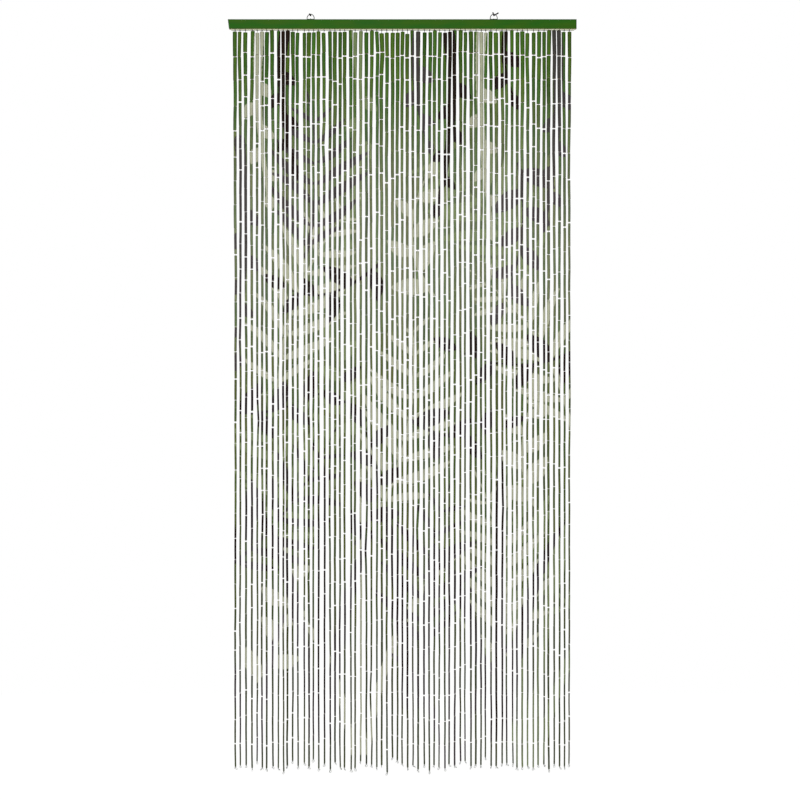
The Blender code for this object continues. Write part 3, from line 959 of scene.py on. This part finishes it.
def make_ties(plans):
    """A dark cord round the strip above each strand, knotted under it, with its end in the first tube."""
    ties = Pile()
    radius = TIE_WIDTH / 2
    top, edge = STRIP_BOTTOM + STRIP_HEIGHT, STRIP_DEPTH / 2
    for plan in plans:
        joint, first_top = plan["joints"][0], plan["tubes"][0][0]
        x = (plan["hole"] + joint[0]) / 2
        for side in (-1, 1):
            profile = [
                (edge - radius, top - 0.9 * radius),
                (edge + 0.5 * radius, top - 1.1 * radius),
                (edge + 0.7 * radius, STRIP_BOTTOM + 0.6 * radius),
                (edge, STRIP_BOTTOM - 0.5 * radius),
                (edge - 1.5 * radius, STRIP_BOTTOM - 0.8 * radius),
                (radius, STRIP_BOTTOM - 1.1 * radius),
            ]
            ties.add_wire([(x, CURTAIN_Y + side * y, z) for y, z in profile], radius)
        half = 1.6 * radius
        knot = Vector((x, CURTAIN_Y, STRIP_BOTTOM - half))
        shares = (-0.98, -0.6, 0.0, 0.6, 0.98)
        widths = [half * math.sqrt(1 - share**2) for share in shares]
        ties.add_wire([knot + Vector((0, 0, half * share)) for share in shares], widths)
        end = Vector((joint[0], joint[1], min(first_top, knot.z) - 0.003))
        drop = [knot.lerp(end, share) for share in (0.0, 0.25, 0.5, 0.75, 1.0)]
        drop[1].x, drop[3].x = knot.x, end.x
        ties.add_wire(drop, 0.7 * radius)
    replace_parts(ties.piece("root_ties", tie_cord(), "painted_bamboo"), "strands")


def make_lines(plans):
    """The clear line through all the tubes of each strand."""
    lines = Pile()
    for plan in plans:
        ends = [plan["tubes"][0][0]]
        ends += [(above[1] + below[0]) / 2 for above, below in zip(plan["tubes"], plan["tubes"][1:])]
        ends.append(plan["tubes"][-1][1] - KNOT_WIDTH / 2)
        points = [(x, y, z) for (x, y), z in zip(plan["joints"], ends)]
        lines.add_wire(points, LINE_WIDTH / 2, 6)
    finish = clear_line("clear_line", (0.42, 0.43, 0.43), (0.58, 0.59, 0.59))
    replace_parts(lines.piece("clear_lines", finish, "painted_bamboo"), "strands")


def make_end_loops(plans):
    """A knot under each strand's last tube, with a loop and a short cut end of the clear line."""
    loops = Pile()
    chance = random.Random(LOOP_SEED)
    for plan in plans:
        half = KNOT_WIDTH / 2
        knot = Vector((*plan["joints"][-1], plan["tubes"][-1][1] - half))
        heights = [half * share for share in (0.95, 0.7, 0.2, -0.35, -0.8, -0.98)]
        widths = [math.sqrt(half**2 - h**2) * chance.uniform(0.85, 1.2) for h in heights]
        loops.add_wire([knot + Vector((0, 0, h)) for h in heights], widths)
        lean = chance.gauss(0, 0.5)
        down = Vector((math.sin(lean), 0, -math.cos(lean)))
        turn = chance.uniform(0, math.pi)
        aside = Vector((math.cos(turn), math.sin(turn), 0))
        reach = LOOP_WIDTH / 2 * chance.uniform(0.8, 1.1)
        middle = knot + down * (half * 0.8 + reach)
        steps = 16
        ring = [
            middle + reach * (aside * 0.8 * math.sin(a) - down * math.cos(a))
            for a in (2 * math.pi * k / steps for k in range(steps))
        ]
        loops.add_wire(ring, LOOP_LINE / 2, 6, closed=True)
        stray = Vector((chance.uniform(-1, 1), chance.uniform(-0.6, 0.6), -chance.uniform(0.3, 1.0)))
        stray.normalize()
        tail = [knot, knot + stray * 0.002, knot + stray * chance.uniform(0.003, 0.006) + down * 0.001]
        loops.add_wire(tail, LOOP_LINE / 2, 6)
    finish = clear_line("end_line", (0.24, 0.245, 0.24), (0.42, 0.43, 0.42))
    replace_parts(loops.piece("end_loops", finish, "painted_bamboo"), "strands")


# Rings, staples and hooks


def arc(across, up, reach, rise, start, end, steps):
    """Points along part of an ellipse, from its start angle up to but without its end angle, in degrees."""
    angles = [math.radians(start + (end - start) * step / steps) for step in range(steps)]
    return [(across + reach * math.cos(angle), up + rise * math.sin(angle)) for angle in angles]


def make_ring(side, x, finish):
    half = (RING_WIDTH - RING_WIRE) / 2
    flat = half - RING_CORNER
    rise = RING_HEIGHT - RING_WIRE - RING_CORNER
    outline = [
        *arc(flat, RING_CORNER, RING_CORNER, RING_CORNER, -90, 0, 6),
        *arc(0.0, RING_CORNER, half, rise, 0, 180, 40),
        *arc(-flat, RING_CORNER, RING_CORNER, RING_CORNER, 180, 270, 6),
        (-flat, 0.0),
    ]
    route = [(x + u, CURTAIN_Y, RING_BAR_Z + v) for u, v in outline]
    ring = Pile()
    ring.add_wire(route, WIRE_FULL * RING_WIRE / 2, 14, closed=True)
    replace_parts(ring.piece(f"wire_ring_{side}", finish, "bright_wire"), f"dring_{side}")


def make_staple(side, x, finish):
    """A bent wire over the ring's bar, with both legs in the batten."""
    reach = RING_WIRE / 2 + SEAT_GAP + STAPLE_WIRE / 2
    foot = BATTEN_TOP - STAPLE_DEPTH
    bend = [(reach * math.cos(a), RING_BAR_Z + reach * math.sin(a)) for a in np.linspace(0, math.pi, 13)]
    full = foot + STAPLE_POINT
    route = [(reach, foot), (reach, full), *bend, (-reach, full), (-reach, foot)]
    radii = [STAPLE_WIRE / 8] + [STAPLE_WIRE / 2] * (len(route) - 2) + [STAPLE_WIRE / 8]
    staple = Pile()
    staple.add_wire([(x, CURTAIN_Y + y, z) for y, z in route], radii, 12)
    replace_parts(staple.piece(f"wire_staple_{side}", finish, "bright_wire"), f"staple_{side}")


def hook_route(side, x):
    """The middle of a screw hook's wire: the straight shank from its point, then the rest."""
    lean, tip, (aside, rise) = HOOKS[side]
    front = CURTAIN_Y - RING_WIRE / 2 - SEAT_GAP
    back = CURTAIN_Y + RING_WIRE / 2 + SEAT_GAP + HOOK_WIRE / 2
    start = Vector((x, back, HOOK_Z))
    shank = [start + Vector((aside, HOOK_THREAD - back, rise)), start]
    across, along = math.sin(lean), math.cos(lean)
    turns = np.linspace(0, math.pi / 2, 10)
    profile = [(HOOK_BEND * math.sin(turn), HOOK_BEND * (1 - math.cos(turn))) for turn in turns]
    profile += [(HOOK_BEND, HOOK_BEND + tip * share) for share in (0.85, 1.0)]
    rest = [Vector((x + up * across, front - out, HOOK_Z + up * along)) for out, up in profile]
    return shank, rest


def make_hook(side, x, finish):
    """Dark wire with a cut thread towards its point."""
    (point, start), rest = hook_route(side, x)
    radius = HOOK_FULL * HOOK_WIRE / 2
    length = (start - point).length
    along = (start - point) / length
    across = along.orthogonal().normalized()
    up = along.cross(across)
    vertices = []
    for ring in range(HOOK_RINGS):
        run = length * ring / (HOOK_RINGS - 1)
        taper = min(1.0, 0.3 + run / HOOK_WIRE)
        depth = THREAD_DEPTH if run < length * THREADED_SHARE else 0.0
        for side_number in range(HOOK_SIDES):
            turn = -2 * math.pi * side_number / HOOK_SIDES
            phase = (run / THREAD_PITCH + side_number / HOOK_SIDES) % 1.0
            reach = (radius - depth * 2 * abs(phase - 0.5)) * taper
            vertices.append(point + along * run + reach * (math.cos(turn) * across + math.sin(turn) * up))
    hook = Pile()
    hook.add(vertices, capped_faces(HOOK_RINGS, HOOK_SIDES))
    hook.add_wire([start - along * 0.0005, *rest], [radius] * len(rest) + [radius * 0.75], HOOK_SIDES)
    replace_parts(hook.piece(f"screw_hook_{side}", finish, "black_wire"), f"hook_{side}")


def make_fittings():
    ring_wire = wire("ring_wire", RING_BRIGHT, RING_DULL, 1.0, PAINT_AND_SHADE_BELOW)
    staple_wire = wire("staple_wire", RING_BRIGHT, RING_DULL, 1.0, PAINT_AND_SHADE_BELOW)
    hook_wire = wire("hook_wire", HOOK_BRIGHT, HOOK_DULL, 0.0)
    for side, x in zip(HOOKS, RING_X):
        make_ring(side, x, ring_wire)
        make_staple(side, x, staple_wire)
        make_hook(side, x, hook_wire)


# Camera, floor and light


def aim(obj, place, target):
    obj.location = place
    obj.rotation_euler = (Vector(target) - Vector(place)).to_track_quat("-Z", "Y").to_euler()
    bpy.context.scene.collection.objects.link(obj)


def make_camera():
    data = bpy.data.cameras.new("camera")
    data.sensor_width = SENSOR
    data.lens = SENSOR * CAMERA_DISTANCE / (PICTURE_SIDE * METRES_A_PIXEL)
    camera = bpy.data.objects.new("camera", data)
    x = (PICTURE_SIDE / 2 - BATTEN_PIXEL[0]) * METRES_A_PIXEL
    z = (BATTEN_PIXEL[1] - PICTURE_SIDE / 2) * METRES_A_PIXEL
    aim(camera, (x, CURTAIN_Y - CAMERA_DISTANCE, z), (x, CURTAIN_Y, z))
    bpy.context.scene.camera = camera


def area_light(name, place, target, size, power):
    data = bpy.data.lights.new(name, "AREA")
    data.shape = "RECTANGLE"
    data.size, data.size_y = size
    data.energy = power
    aim(bpy.data.objects.new(name, data), place, target)


def make_world():
    """Seen by the camera the surroundings are white, and they light the object with a softer grey."""
    world = bpy.data.worlds.new("studio")
    world.use_nodes = True
    tree = world.node_tree
    seen, lit = tree.nodes["Background"], tree.nodes.new("ShaderNodeBackground")
    seen.inputs["Color"].default_value = (1.0, 1.0, 1.0, 1.0)
    lit.inputs["Color"].default_value = (*ROOM_COLOUR, 1.0)
    lit.inputs["Strength"].default_value = ROOM_STRENGTH
    mix, path = tree.nodes.new("ShaderNodeMixShader"), tree.nodes.new("ShaderNodeLightPath")
    tree.links.new(path.outputs["Is Camera Ray"], mix.inputs[0])
    tree.links.new(lit.outputs[0], mix.inputs[1])
    tree.links.new(seen.outputs[0], mix.inputs[2])
    tree.links.new(mix.outputs[0], tree.nodes["World Output"].inputs["Surface"])
    bpy.context.scene.world = world


def make_floor():
    bm = bmesh.new()
    bmesh.ops.create_grid(bm, x_segments=1, y_segments=1, size=0.5)
    mesh = bpy.data.meshes.new("floor")
    bm.to_mesh(mesh)
    bm.free()
    surface = Surface("floor", 0.8)
    surface.shader.inputs["Base Color"].default_value = (FLOOR_GREY, FLOOR_GREY, FLOOR_GREY, 1.0)
    surface.shader.inputs["Emission Color"].default_value = (1.0, 1.0, 1.0, 1.0)
    surface.shader.inputs["Emission Strength"].default_value = FLOOR_GLOW
    mesh.materials.append(surface.material)
    floor = bpy.data.objects.new("floor", mesh)
    floor.scale = (*FLOOR_SIZE, 1.0)
    floor.location = (0, 0, FLOOR_Z)
    bpy.context.scene.collection.objects.link(floor)


def make_studio():
    make_camera()
    make_world()
    make_floor()
    for light in LIGHTS:
        area_light(*light)
    bpy.context.scene.view_settings.view_transform = "Standard"


def main():
    plans = strand_plans()
    hang_straighter(plans)
    clear_neighbours(plans)
    loosen_rows(plans)
    make_all_tubes(plans)
    make_strip()
    make_ties(plans)
    make_lines(plans)
    make_end_loops(plans)
    make_fittings()
    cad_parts["batten"].material_slots[0].material = green_paint()
    make_studio()


main()
